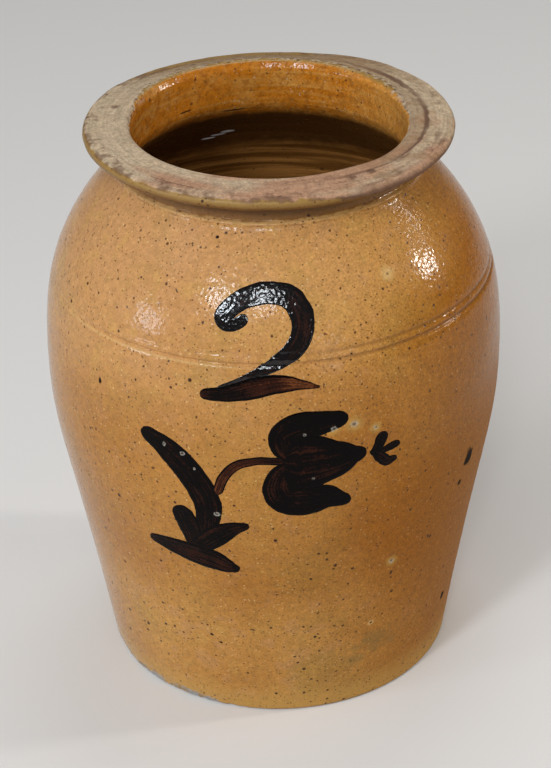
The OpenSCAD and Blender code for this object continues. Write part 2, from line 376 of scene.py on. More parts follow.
INNER_SHADE = (0.095, 0.036, 0.009, 1)
INNER_BROWN = (0.17, 0.066, 0.013, 1)
INNER_TAN = (0.38, 0.165, 0.040, 1)
DRY_CLAY = (0.48, 0.360, 0.232, 1)
DRY_PINK = (0.42, 0.232, 0.136, 1)
DRY_BROWN = (0.25, 0.140, 0.060, 1)
DRY_STAIN = (0.13, 0.062, 0.036, 1)
CHIP_GREY = (0.37, 0.36, 0.36, 1)
CHIP_DARK = (0.10, 0.080, 0.060, 1)
CRUST = (0.58, 0.47, 0.34, 1)
PIT_PALE = (0.50, 0.46, 0.38, 1)
PIT_HALO = (0.60, 0.37, 0.09, 1)
BURNT = (0.012, 0.006, 0.004, 1)
SMUDGE = (0.22, 0.15, 0.045, 1)
GLAZE_RUN_GLINT = (0.85, 0.86, 0.88, 1)
GLAZE_SHINE = 0.20
DULL_ROUGHNESS = 0.62
CLAY_ROUGHNESS = 0.78
RIDGE_Z = SHOULDER_Z + 1.9 * MM
WORN_SOFT = 0.8 * MM
CRACK_R = 82.7 * MM
BARE_FRONT_R = 67.9 * MM
BARE_BACK_R = 72.3 * MM
BARE_FOOT_LEAST = 0.4 * MM
BARE_FOOT_MOST = 6.5 * MM


def feed(tree, socket, value):
    """Sets a socket, or links it where the value is another node's output."""
    if isinstance(value, bpy.types.NodeSocket):
        tree.links.new(value, socket)
    else:
        socket.default_value = value


def put(tree, kind, **given):
    """A new node: small first letters set its options, capital ones its sockets."""
    node = tree.nodes.new("ShaderNode" + kind)
    for name, value in given.items():
        if name[0].islower():
            setattr(node, name, value)
        else:
            feed(tree, node.inputs[name], value)
    return node


def calc(tree, operation, *values):
    """One sum on numbers."""
    node = put(tree, "Math", operation=operation)
    for socket, value in zip(node.inputs, values):
        feed(tree, socket, value)
    return node.outputs[0]


def times(tree, first, *others):
    """Several numbers multiplied together."""
    for other in others:
        first = calc(tree, "MULTIPLY", first, other)
    return first


def rising(tree, value, low, high):
    """0 below low, 1 above high, soft between; falling where low is above high."""
    node = put(tree, "MapRange", interpolation_type="SMOOTHSTEP")
    for name, given in (("Value", value), ("From Min", low), ("From Max", high)):
        feed(tree, node.inputs[name], given)
    return node.outputs[0]


def between(tree, share, low, high):
    """A number that goes from low to high as the share goes from 0 to 1."""
    node = put(tree, "MapRange")
    for name, given in (("Value", share), ("To Min", low), ("To Max", high)):
        feed(tree, node.inputs[name], given)
    return node.outputs[0]


def stripe(tree, value, middle, half):
    """1 in the middle of a narrow stripe, falling to 0 at its half width."""
    off = calc(tree, "ABSOLUTE", calc(tree, "SUBTRACT", value, middle))
    return rising(tree, off, half, 0.25 * half)


def tint(tree, share, under, over, blend="MIX"):
    """One colour laid over another."""
    node = put(tree, "Mix", data_type="RGBA", blend_type=blend)
    for index, given in ((0, share), (6, under), (7, over)):
        feed(tree, node.inputs[index], given)
    return node.outputs[2]


def noise(tree, place, scale, detail=2.0):
    """Cloudy noise from about 0 to 1; scale counts the clouds in a metre."""
    return put(tree, "TexNoise", Vector=place, Scale=scale, Detail=detail).outputs[0]


def stretched(tree, place, shape):
    """Coordinates drawn out along some axes, for streaks."""
    node = put(tree, "VectorMath", operation="MULTIPLY", Vector=place)
    node.inputs[1].default_value = shape
    return node.outputs[0]


def crooked(tree, place, scale, reach):
    """Coordinates pushed about by fine noise, so that round dots become crumbs."""
    push = put(tree, "TexNoise", Vector=place, Scale=scale, Detail=1.0).outputs["Color"]
    push = put(tree, "VectorMath", operation="MULTIPLY_ADD", Vector=push)
    push.inputs[1].default_value = (2 * reach, 2 * reach, 2 * reach)
    tree.links.new(place, push.inputs[2])
    return push.outputs[0]


def dots(tree, place, scale, size):
    """Scattered round dots of mixed sizes; size is the largest radius in cells."""
    cells = put(tree, "TexVoronoi", Vector=place, Scale=scale)
    chance = put(tree, "SeparateColor", Color=cells.outputs["Color"]).outputs[0]
    edge = calc(tree, "MULTIPLY", chance, size)
    gap = calc(tree, "SUBTRACT", cells.outputs["Distance"], edge)
    return rising(tree, gap, 0.03, -0.03)


def wall_place(x, z):
    """A point on the front of the outer wall, from its x and z in millimetres."""
    r = wall_radius(z * MM)
    return Vector((x * MM, -math.sqrt(r * r - (x * MM) ** 2), z * MM))


def nearest(tree, place, spots):
    """Distance to the nearest of some spots (centre, half width, half height), in its own halves."""
    gap = None
    for centre, wide, tall in spots:
        off = put(tree, "VectorMath", operation="SUBTRACT", Vector=place)
        off.inputs[1].default_value = centre
        off = stretched(tree, off.outputs[0], (1 / (wide * MM), 1 / (wide * MM), 1 / (tall * MM)))
        away = put(tree, "VectorMath", operation="LENGTH", Vector=off).outputs["Value"]
        gap = away if gap is None else calc(tree, "MINIMUM", gap, away)
    return gap


def pitted(tree, colour, gap, grain):
    """Burst bubbles: a pale disc, paler at its rim, with a dark pinhole in the middle."""
    speckled = between(tree, rising(tree, grain, 0.38, 0.62), 0.12, 0.7)
    disc = times(tree, rising(tree, gap, 1.2, 0.8), speckled)
    colour = tint(tree, disc, colour, PIT_PALE)
    return tint(tree, times(tree, rising(tree, gap, 0.65, 0.25), 0.65), colour, BURNT)


PITS = [
    (wall_place(37.2, 183.1), 2.1, 1.9), (wall_place(47.5, 178.6), 1.5, 1.4),
    (wall_place(27.5, 182.5), 1.6, 1.5), (wall_place(-44.0, 167.6), 1.2, 1.1),
    (wall_place(-28.6, 134.7), 1.7, 1.4), (wall_place(-52.6, 170.8), 1.0, 1.2),
    (wall_place(13.8, 181.1), 0.8, 0.8), (wall_place(17.5, 156.6), 0.7, 0.7),
    (wall_place(-38.6, 160.2), 0.7, 0.7), (wall_place(56.0, 91.3), 1.6, 1.6),
]
BLEMISHES = [(wall_place(53.8, 246.9), 3.2, 2.4), (wall_place(46.2, 52.5), 1.7, 1.7)]
BURNT_SPOTS = [
    (wall_place(-83.0, 191.9), 1.5, 2.6), (wall_place(-24.6, 266.1), 1.1, 1.1),
    (wall_place(95.6, 131.3), 4.6, 6.6), (wall_place(85.3, 37.0), 3.2, 3.6),
    (wall_place(91.0, 118.8), 1.9, 1.9), (wall_place(-13.8, 58.0), 1.2, 1.0),
    (wall_place(-34.0, 51.0), 1.3, 1.0), (wall_place(-29.5, 46.5), 1.1, 0.9),
]
SMUDGES = [(wall_place(47.9, 38.5), 15, 9), (wall_place(36, 30), 8, 6)]
RIM_MARKS = [
    (Vector((-74.9, 16.4, 291)) * MM, 3.0, 2.0), (Vector((-87.6, 7.5, 290)) * MM, 1.6, 2.0),
    (Vector((-75.9, -44.3, 290)) * MM, 2.2, 2.0), (Vector((-44.2, 60.5, 291)) * MM, 2.4, 2.0),
    (Vector((-37.8, 69.2, 291)) * MM, 2.4, 2.0), (Vector((76.7, -39.1, 290)) * MM, 1.0, 2.0),
    (Vector((31.9, -72.4, 291)) * MM, 1.6, 2.0), (Vector((38.0, -67.5, 291)) * MM, 3.2, 2.0),
    (Vector((47.0, -61.5, 291)) * MM, 3.0, 2.0), (Vector((4.0, -85.0, 290.5)) * MM, 1.0, 2.0),
]
GOUGES = [(Vector((-41.7, 52.5, 272.3)) * MM, 4.0, 0.5), (Vector((-17.0, 66.0, 266.6)) * MM, 6.5, 0.6)]
# A short glaze run on the inner back wall, painted near white as a highlight.
GLAZE_RUN_GLINTS = [
    (Vector((-32.0, 78.8, 244.7)) * MM, 4.2, 0.7), (Vector((-27.0, 79.6, 246.4)) * MM, 4.4, 0.8),
    (Vector((-21.5, 79.6, 248.2)) * MM, 4.0, 1.1),
]
glaze = bpy.data.materials.new("ochre_salt_glaze")
glaze.use_nodes = True
g = glaze.node_tree
place = put(g, "TexCoord").outputs["Object"]
x, y, z = put(g, "SeparateXYZ", Vector=place).outputs
flat = put(g, "CombineXYZ", X=x, Y=y).outputs[0]
radius = put(g, "VectorMath", operation="LENGTH", Vector=flat).outputs["Value"]
wheel = put(g, "CombineXYZ", X=x, Y=y, Z=radius).outputs[0]
inside_mask = put(g, "Attribute", attribute_name="inside").outputs["Fac"]
clouds = noise(g, place, 13, 3)
patches = noise(g, place, 30, 4)
blooms = noise(g, place, 100, 4)
ragged = calc(g, "SUBTRACT", noise(g, place, 170, 3), 0.5)
grain = noise(g, place, 1000, 2)
mottle = noise(g, place, 330, 3)
peel = noise(g, place, 620, 0.5)
swell = noise(g, place, 200, 0.0)
lines = noise(g, stretched(g, place, (14, 14, 300)), 1, 2)
crumbs = crooked(g, place, 700, 0.35 * MM)

# Outside: ochre, pinker towards the left, clouded yellow and olive. It is deepened at the belly, and
# deepened and browned towards the lower right, as painted shade.
ochre = tint(g, between(g, rising(g, clouds, 0.34, 0.62), 0.6, 1.0), OCHRE_DEEP, OCHRE)
lean = calc(g, "MULTIPLY_ADD", clouds, -0.12, x)
off_low = calc(g, "ABSOLUTE", calc(g, "SUBTRACT", z, 0.09))
low_right_shade = calc(g, "MULTIPLY_ADD", off_low, -0.3, lean)
pink_share = times(g, rising(g, lean, 0.05, -0.13), between(g, rising(g, z, 0.14, 0.25), 0.15, 0.82))
ochre = tint(g, pink_share, ochre, PINK_TAN)
ochre = tint(g, times(g, rising(g, blooms, 0.52, 0.66), 0.36), ochre, PINK_TAN)
olive_share = between(g, rising(g, x, -0.09, 0.03), 0.28, 0.50)
ochre = tint(g, times(g, rising(g, patches, 0.5, 0.68), olive_share), ochre, OLIVE)
ochre = tint(g, times(g, rising(g, blooms, 0.47, 0.35), 0.28), ochre, YELLOW)
# Painted shade: the belly is deepened against the shoulder, as if less lit from above.
belly_shade = times(g, rising(g, z, 0.215, 0.165), rising(g, z, 0.05, 0.10), 0.38)
ochre = tint(g, belly_shade, ochre, OCHRE_DEEP)
# Painted shade: the lower right is deepened and the right side below the shoulder browned, as if less
# lit.
ochre = tint(g, times(g, rising(g, low_right_shade, -0.098, 0.012), 0.88), ochre, OCHRE_DEEP)
right_shade = times(g, rising(g, x, 0.045, 0.10), rising(g, z, 0.235, 0.18), 0.30)
ochre = tint(g, right_shade, ochre, RIGHT_SHADE_BROWN)
grit = times(g, between(g, grain, -0.42, 0.42), between(g, rising(g, x, -0.08, 0.08), 0.6, 1.3))
shades = calc(g, "ADD", between(g, mottle, 0.72, 1.28), grit)
ochre = tint(g, 1.0, ochre, shades, "MULTIPLY")

# Painted highlights along the incised line and the neck ridge, painted shade in the lines and under the
# ridge, the yellower foot, and the brown cove under the rim, darker towards the rim as painted shade
neck_z = calc(g, "MULTIPLY_ADD", ragged, 2 * MM, z)
# Painted highlight: a pale stripe on the lower lip of the incised line at the left, and on the neck
# ridge.
edge_highlight = stripe(g, z, LINE_Z - 1.4 * MM, 0.9 * MM)
edge_highlight = times(g, edge_highlight, rising(g, x, 0.01, -0.05), rising(g, x, -0.106, -0.09))
edge_highlight = calc(g, "MAXIMUM", edge_highlight, stripe(g, neck_z, RIDGE_Z, 0.8 * MM))
ochre = tint(g, times(g, edge_highlight, 0.25), ochre, PALE_DOT)
# Painted shade: a broken dark line under the neck ridge where a fine groove lies, and incised lines
# darkened towards the right.
under_ridge_shade = times(g, stripe(g, neck_z, RIDGE_Z - 1.2 * MM, 0.6 * MM), rising(g, blooms, 0.40, 0.58))
ochre = tint(g, times(g, under_ridge_shade, 0.4), ochre, FRECKLE)
groove = stripe(g, z, LINE_Z, 1.1 * MM)
groove = calc(g, "MAXIMUM", groove, stripe(g, z, LINE_Z + LINE_GAP, 1.1 * MM))
ochre = tint(g, times(g, groove, rising(g, x, -0.02, 0.07), 0.5), ochre, FRECKLE)
# Pale dots on the glaze's small pimples: partly pale specks in the glaze, partly painted sparkle
# highlights, more at the left.
pimples = dots(g, crumbs, 420, 0.22)
ochre = tint(g, times(g, pimples, between(g, rising(g, x, 0.0, 0.07), 0.45, 0.25)), ochre, PALE_DOT)
ochre = tint(g, times(g, rising(g, neck_z, 22 * MM, 4 * MM), 0.6), ochre, YELLOW)
# The brown cove is partly glaze pooled under the rim and partly painted shade, darkest right under the
# rim.
neck = times(g, rising(g, neck_z, RIDGE_Z, RIDGE_Z + MM), rising(g, z, below(2.7), below(7.2)))
cove_shade = times(g, neck, between(g, rising(g, z, below(18.5), below(13)), 0.70, 0.93))
ochre = tint(g, times(g, rising(g, z, below(8.2), below(3.8)), 0.8), ochre, RIM_SIDE)
ochre = tint(g, cove_shade, ochre, COVE_BROWN)

# Iron specks burnt through the glaze
ochre = tint(g, times(g, dots(g, crumbs, 560, 0.30), 0.60), ochre, FRECKLE)
specks = dots(g, crumbs, 250, between(g, patches, 0.08, 0.28))
specks = calc(g, "MAXIMUM", specks, dots(g, crumbs, 390, between(g, blooms, 0.05, 0.32)))
large_specks = dots(g, crumbs, 105, 0.108)
iron = calc(g, "MAXIMUM", times(g, specks, 0.9), large_specks)
rust = tint(g, times(g, rising(g, mottle, 0.46, 0.66), 0.7), IRON_SPECK, FRECKLE)
ochre = tint(g, iron, ochre, rust)

# Blemishes: spots with a pale halo, burnt drips, a smudge and burst bubbles
smudge = rising(g, calc(g, "MULTIPLY_ADD", ragged, 2.2, nearest(g, place, SMUDGES)), 1.1, 0.2)
ochre = tint(g, times(g, smudge, 0.45), ochre, SMUDGE)
spot_gap = calc(g, "MULTIPLY_ADD", ragged, 2.2, nearest(g, crumbs, BLEMISHES))
ochre = tint(g, times(g, rising(g, spot_gap, 1.6, 0.5), 0.45), ochre, PALE_DOT)
ochre = tint(g, times(g, rising(g, spot_gap, 0.55, 0.3), rising(g, grain, 0.32, 0.46)), ochre, BURNT)
burnt = rising(g, calc(g, "MULTIPLY_ADD", ragged, 1.5, nearest(g, crumbs, BURNT_SPOTS)), 1.0, 0.6)
ochre = tint(g, burnt, ochre, BURNT)
pit_gap = calc(g, "MULTIPLY_ADD", ragged, 0.9, nearest(g, crumbs, PITS))
ochre = tint(g, times(g, rising(g, pit_gap, 3.0, 0.8), 0.5), ochre, PIT_HALO)
ochre = pitted(g, ochre, pit_gap, grain)

# Inside: amber in the throat, then brown and ringed lower down, the brown partly the glaze and partly
# painted shade, with a band of painted shade just under the throat
shaded_inner = tint(g, rising(g, lines, 0.36, 0.66), INNER_BROWN, INNER_TAN)
fine_lines = noise(g, stretched(g, place, (8, 8, 900)), 1, 2)
shaded_inner = tint(g, 1.0, shaded_inner, between(g, fine_lines, 0.45, 1.55), "MULTIPLY")
# Painted shade: a dark band just under the throat's overhang.
shade_z = calc(g, "MULTIPLY_ADD", ragged, 10 * MM, z)
shaded_inner = tint(g, rising(g, shade_z, below(63), below(49)), shaded_inner, INNER_SHADE)
amber = tint(g, times(g, rising(g, blooms, 0.44, 0.68), 0.4), AMBER, AMBER_PALE)
amber = tint(g, times(g, rising(g, lines, 0.46, 0.66), 0.55), amber, AMBER_PALE)
amber = tint(g, times(g, rising(g, mottle, 0.50, 0.36), 0.32), amber, AMBER_RED)
amber = tint(g, times(g, rising(g, x, 0.032, 0.066), 0.45), amber, AMBER_PALE)
amber = tint(g, 1.0, amber, shades, "MULTIPLY")
amber = tint(g, times(g, dots(g, crumbs, 480, 0.22), 0.5), amber, CRUST)
throat_z = calc(g, "MULTIPLY_ADD", ragged, 5 * MM, z)
inner = tint(g, rising(g, throat_z, below(31.5), below(25.5)), shaded_inner, amber)
inner = tint(g, times(g, iron, 0.8), inner, rust)
# The throat's gouges are sunk by the bump and painted dark as the shade in their slits.
gouge = rising(g, nearest(g, crumbs, GOUGES), 1.15, 0.7)
inner = tint(g, times(g, gouge, 0.8), inner, IRON_SPECK)
# Painted highlight: the glaze run on the inner back wall, near white.
glint_gap = calc(g, "MULTIPLY_ADD", ragged, 0.8, nearest(g, place, GLAZE_RUN_GLINTS))
inner = tint(g, rising(g, glint_gap, 1.1, 0.7), inner, GLAZE_RUN_GLINT)
glazed = tint(g, rising(g, inside_mask, 0.2, 0.7), ochre, inner)

# Dry clay on the rim's top, streaked by the wheel, worn to a ledge and stained by use
turned = noise(g, stretched(g, wheel, (22, 22, 700)), 1, 3)
stains = noise(g, stretched(g, wheel, (30, 30, 90)), 1, 4)
smears = noise(g, stretched(g, wheel, (60, 60, 260)), 1, 5)
front_right = calc(g, "MULTIPLY_ADD", x, 0.3, calc(g, "MULTIPLY", y, -1.0))
front_right = calc(g, "MULTIPLY_ADD", calc(g, "SUBTRACT", stains, 0.5), 0.20, front_right)
dry = tint(g, rising(g, front_right, 0.025, 0.085), DRY_CLAY, DRY_PINK)
dry = tint(g, times(g, rising(g, y, 0.035, 0.075), 0.72), dry, DRY_BROWN)
use = between(g, rising(g, lean, -0.06, 0.0), 0.25, 1.0)
dry = tint(g, times(g, rising(g, blooms, 0.50, 0.64), use, 0.45), dry, DRY_BROWN)
dry = tint(g, 1.0, dry, between(g, turned, 0.64, 1.30), "MULTIPLY")
dry = tint(g, 1.0, dry, between(g, mottle, 0.56, 1.50), "MULTIPLY")
dry = tint(g, 1.0, dry, between(g, grain, 0.50, 1.56), "MULTIPLY")
right_side = rising(g, lean, -0.045, 0.0)
worn = times(g, rising(g, radius, LEDGE_R + WORN_SOFT, LEDGE_R - WORN_SOFT), right_side, 0.35)
dry = tint(g, worn, dry, DRY_BROWN)
ledge_place = calc(g, "MULTIPLY_ADD", ragged, 2.2 * MM, radius)
ledge_line = times(g, stripe(g, ledge_place, LEDGE_R, 1.7 * MM), right_side)
dry = tint(g, times(g, ledge_line, rising(g, stains, 0.30, 0.52), 0.85), dry, DRY_STAIN)
dry = tint(g, times(g, rising(g, smears, 0.55, 0.72), use, 0.55), dry, DRY_STAIN)
mark = rising(g, calc(g, "MULTIPLY_ADD", ragged, 2.4, nearest(g, crumbs, RIM_MARKS)), 1.1, 0.4)
dry = tint(g, times(g, mark, 0.8), dry, DRY_STAIN)
crack = stripe(g, calc(g, "MULTIPLY_ADD", ragged, 0.6 * MM, radius), CRACK_R, 0.5 * MM)
crack = times(g, crack, rising(g, x, -0.058, -0.052), rising(g, x, -0.031, -0.037))
crack = times(g, crack, rising(g, y, 0.0, -0.01))
dry = tint(g, times(g, crack, 0.75), dry, DRY_STAIN)
edge_z = calc(g, "MULTIPLY_ADD", ragged, 2.2 * MM, z)
edge_z = calc(g, "MULTIPLY_ADD", calc(g, "SUBTRACT", mottle, 0.5), 1.6 * MM, edge_z)
dry_edge = rising(g, x, 0.012, 0.055)
edge_z = calc(g, "MULTIPLY_ADD", dry_edge, 4.2 * MM, edge_z)
dry = tint(g, times(g, rising(g, z, below(2.2), below(4.8)), 0.75), dry, DRY_STAIN)
edge_line = times(g, rising(g, edge_z, below(3.4), below(2.4)), rising(g, edge_z, below(1.1), below(1.9)))
edge_line = times(g, edge_line, rising(g, radius, 0.080, 0.084), rising(g, blooms, 0.40, 0.56))
back = rising(g, y, 0.012, 0.05)
edge_gap = calc(g, "MULTIPLY_ADD", ragged, 4.5 * MM, radius)
edge_gap = calc(g, "SUBTRACT", edge_gap, between(g, back, BARE_FRONT_R, BARE_BACK_R))
bare_top = times(g, rising(g, edge_z, below(2.5), below(1.9)), rising(g, edge_gap, -0.35 * MM, 0.35 * MM))
crust = times(g, rising(g, edge_gap, -2.6 * MM, -0.6 * MM), rising(g, edge_gap, 1.4 * MM, 0.2 * MM))
crust = times(g, crust, rising(g, z, below(4), below(2)))
pale_crust = times(g, crust, rising(g, noise(g, place, 420, 2), 0.46, 0.60))
brown_crust = times(g, crust, rising(g, noise(g, place, 300, 2), 0.48, 0.38))

# Dry clay underneath and where the foot's edge is chipped
left_foot = times(g, rising(g, x, -0.026, -0.042), rising(g, x, -0.086, -0.074), rising(g, y, 0.0, -0.02))
chip_height = rising(g, noise(g, place, 85, 5), 0.24, 0.66)
foot_edge = between(g, times(g, left_foot, chip_height), BARE_FOOT_LEAST, BARE_FOOT_MOST)
chip_z = calc(g, "SUBTRACT", calc(g, "MULTIPLY_ADD", ragged, 4.0 * MM, z), foot_edge)
bare_foot = times(g, rising(g, chip_z, 1.1 * MM, -0.9 * MM), rising(g, inside_mask, 0.5, 0.0))
bare_foot = times(g, bare_foot, between(g, rising(g, mottle, 0.36, 0.52), 0.45, 1.0))
under = tint(g, rising(g, stains, 0.4, 0.65), CHIP_GREY, DRY_CLAY)
under = tint(g, times(g, rising(g, mottle, 0.48, 0.36), 0.8), under, CHIP_DARK)
under = tint(g, 1.0, under, between(g, grain, 0.5, 1.5), "MULTIPLY")
colour = tint(g, bare_top, glazed, dry)
colour = tint(g, times(g, brown_crust, 0.75), colour, DRY_STAIN)
colour = tint(g, times(g, pale_crust, 0.75), colour, CRUST)
colour = tint(g, times(g, edge_line, 0.65), colour, DRY_STAIN)
colour = tint(g, bare_foot, colour, under)
bare = calc(g, "MAXIMUM", bare_top, bare_foot)

# Surface: orange peel and pin specks in the glaze, wheel lines and grit in the dry clay
glaze_height = calc(g, "ADD", times(g, peel, 0.16 * MM), times(g, lines, 0.05 * MM))
glaze_height = calc(g, "MULTIPLY_ADD", swell, 0.15 * MM, glaze_height)
glaze_height = calc(g, "MULTIPLY_ADD", iron, -0.03 * MM, glaze_height)
glaze_height = calc(g, "MULTIPLY_ADD", pimples, 0.05 * MM, glaze_height)
glaze_height = calc(g, "MULTIPLY_ADD", rising(g, pit_gap, 0.9, 0.3), -0.2 * MM, glaze_height)
glaze_height = calc(g, "MULTIPLY_ADD", crust, 0.35 * MM, glaze_height)
glaze_height = calc(g, "MULTIPLY_ADD", gouge, -0.6 * MM, glaze_height)
inner_height = calc(g, "MULTIPLY_ADD", times(g, lines, inside_mask), 0.25 * MM, glaze_height)
dry_height = calc(g, "ADD", times(g, turned, 0.14 * MM), times(g, grain, 0.12 * MM))
dry_height = calc(g, "MULTIPLY_ADD", mottle, 0.14 * MM, dry_height)
height = put(g, "Mix", data_type="FLOAT")
for index, given in ((0, bare), (2, inner_height), (3, dry_height)):
    feed(g, height.inputs[index], given)
bump = put(g, "Bump", Height=height.outputs[0], Distance=1.0)
shader = g.nodes["Principled BSDF"]
feed(g, shader.inputs["Base Color"], colour)
feed(g, shader.inputs["Normal"], bump.outputs[0])
gloss = calc(g, "MULTIPLY_ADD", iron, 0.25, between(g, mottle, 0.08, 0.22))
rim_side = times(g, rising(g, z, below(7), below(4)), rising(g, radius, 0.078, 0.084))
gloss = calc(g, "MULTIPLY_ADD", rim_side, 0.22, gloss)
dull = times(g, rising(g, z, 0.20, 0.13), rising(g, x, -0.02, 0.06))
gloss = between(g, dull, gloss, DULL_ROUGHNESS)
gloss = between(g, burnt, gloss, 1.0)
feed(g, shader.inputs["Roughness"], between(g, bare, gloss, CLAY_ROUGHNESS))
shader.inputs["Specular IOR Level"].default_value = GLAZE_SHINE
jar.data.materials.append(glaze)
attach(jar, "root")
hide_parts("crock_body")

# Capacity numeral: dark iron slip laid with a loaded brush under the glaze, a bow with a
# curled head and then a flat foot stroke. Each stroke is a strip of bristle marks pressed
# onto the jar's curved wall.
BRISTLES = 10
COLUMNS = BRISTLES + 1
BRUSH_STAND = 0.2
BRUSH_SPREAD = 0.40 * MM
BRUSH_LEAST = 0.3 * MM
STREAK_LENGTH = 10 * MM
END_REACH = 5 * MM
END_ANGLES = (84, 70, 55, 40, 25, 12)
PATH_STEPS = 6
SPIN_SIGN = -1
RAGGED_SIZE = 5 * MM
RAGGED_DEPTH = 0.7 * MM
SLIP_SINK = 0.05 * MM
SLIP_CROWN = ((1, 0.7), (2, 0.3))
SLIP_SKIN = 0.3 * MM
SMOOTH_ANGLE = math.radians(50)
INK = (0.0030, 0.0018, 0.0017, 1)
IRON_BROWN = (0.036, 0.010, 0.005, 1)
THIN_WASH = (0.20, 0.062, 0.018, 1)
NUMERAL_SHINE = 0.40
DULL_SHINE = 0.06
NUMERAL_PLACE = Vector((-7, LINE_Z / MM + 8))
BOW_LIFT = 0.12 * MM
BOW_THIN = (0.0, 0.0, 0.05, 0.2, 0.1, 0.1)
BOW_MARKS = [
    (-7.0, 11.5, 4.4), (-10.2, 9.8, 4.6), (-13.4, 9.2, 5.0), (-15.9, 10.2, 6.6), (-16.0, 12.8, 7.2),
    (-13.0, 15.8, 7.3), (-9.2, 18.4, 7.5), (-4.6, 20.6, 7.8), (2.8, 22.2, 8.3), (10, 21.8, 8.5),
    (15.6, 19.6, 9.4), (18.6, 16, 9.9), (20.4, 12, 10.1), (20.6, 7.6, 10.1), (18.7, 1.9, 9.4),
    (14.5, -2.8, 8.4), (8, -7, 6.4), (0, -11.2, 4.2), (-9, -16, 4), (-18, -20.2, 3.6),
]
FOOT_LIFT = 0.16 * MM
FOOT_THIN = (0.3, 0.15, 0.2, 0.3, 0.6, 0.55, -0.4)
FOOT_MARKS = [
    (-25, -23.2, 5), (-15, -21.8, 7.6), (-4, -18.9, 10.2), (5, -17.1, 9.2), (12, -16.8, 7.6),
    (19, -17.6, 4.4), (27, -19.4, 0.8),
]


def round_end(row, way, out):
    """Rows of a stroke's rounded end from its tip inwards, where out is the way that the tip points."""
    rows = []
    for angle in END_ANGLES:
        turn = math.radians(angle)
        reach = math.sin(turn) * min(row.z, END_REACH)
        rows.append((row.to_2d() + out * reach, math.cos(turn) * row.z, way))
    return rows


def brush_path(centre, marks):
    """Rows of a stroke, as middle, half width and heading, smooth through its marks (x, z, width)."""
    spots = [Vector((centre.x + a, centre.y + b, w / 2)) * MM for a, b, w in marks]
    spots = [spot + Vector((0, 0, BRUSH_SPREAD)) for spot in spots]
    spots = [2 * spots[0] - spots[1]] + spots + [2 * spots[-1] - spots[-2]]
    rows = []
    for a, b, c, d in zip(spots, spots[1:], spots[2:], spots[3:]):
        for i in range(PATH_STEPS):
            t = i / PATH_STEPS
            rows.append(0.5 * (2 * b + (c - a) * t + (2 * a - 5 * b + 4 * c - d) * t * t
                               + (3 * b - a - 3 * c + d) * t ** 3))
    rows.append(spots[-2])
    ahead = [(b - a).to_2d() for a, b in zip(rows, rows[1:])]
    ahead = [ahead[0]] + [(a + b) for a, b in zip(ahead, ahead[1:])] + [ahead[-1]]
    ahead = [way.normalized() for way in ahead]
    path = round_end(rows[0], ahead[0], -ahead[0])
    path += [(row.to_2d(), max(row.z, BRUSH_LEAST), way) for row, way in zip(rows, ahead)]
    path += reversed(round_end(rows[-1], ahead[-1], ahead[-1]))
    return path


def eased_bends(path):
    """Draws in the inner side of tight bends, so that a wide stroke doesn't fold over itself."""
    sides = []
    for i, (middle, half, way) in enumerate(path):
        before, after = path[max(i - 2, 0)], path[min(i + 2, len(path) - 1)]
        run = (after[0] - before[0]).length
        bend = before[2].angle_signed(after[2], 0.0) / run if run > 0 else 0.0
        left = right = half
        if bend > 0:
            right = min(half, 1.0 / bend)
        elif bend < 0:
            left = min(half, -1.0 / bend)
        sides.append((left, right))
    eased_path = []
    for i, (middle, half, way) in enumerate(path):
        near = sides[max(i - 2, 0):i + 3]
        left = min(half, sum(s[0] for s in near) / len(near))
        right = min(half, sum(s[1] for s in near) / len(near))
        across = Vector((-way.y, way.x))
        eased_path.append((middle + across * (left - right) / 2, (left + right) / 2, way))
    return eased_path


def choose_rows(strip, rows):
    """Selects whole rows of a strip in edit mode."""
    mesh = bmesh.from_edit_mesh(strip.data)
    mesh.verts.ensure_lookup_table()
    for vertex in mesh.verts:
        vertex.select = vertex.index // COLUMNS in rows
    mesh.select_flush_mode()


def choose_inner(strip, depth):
    """Selects a strip's points that lie at least some columns and rows in from its edge."""
    mesh = bmesh.from_edit_mesh(strip.data)
    mesh.verts.ensure_lookup_table()
    count = len(mesh.verts) // COLUMNS
    for vertex in mesh.verts:
        row, column = divmod(vertex.index, COLUMNS)
        vertex.select = depth <= column < COLUMNS - depth and depth <= row < count - depth
    mesh.select_flush_mode()


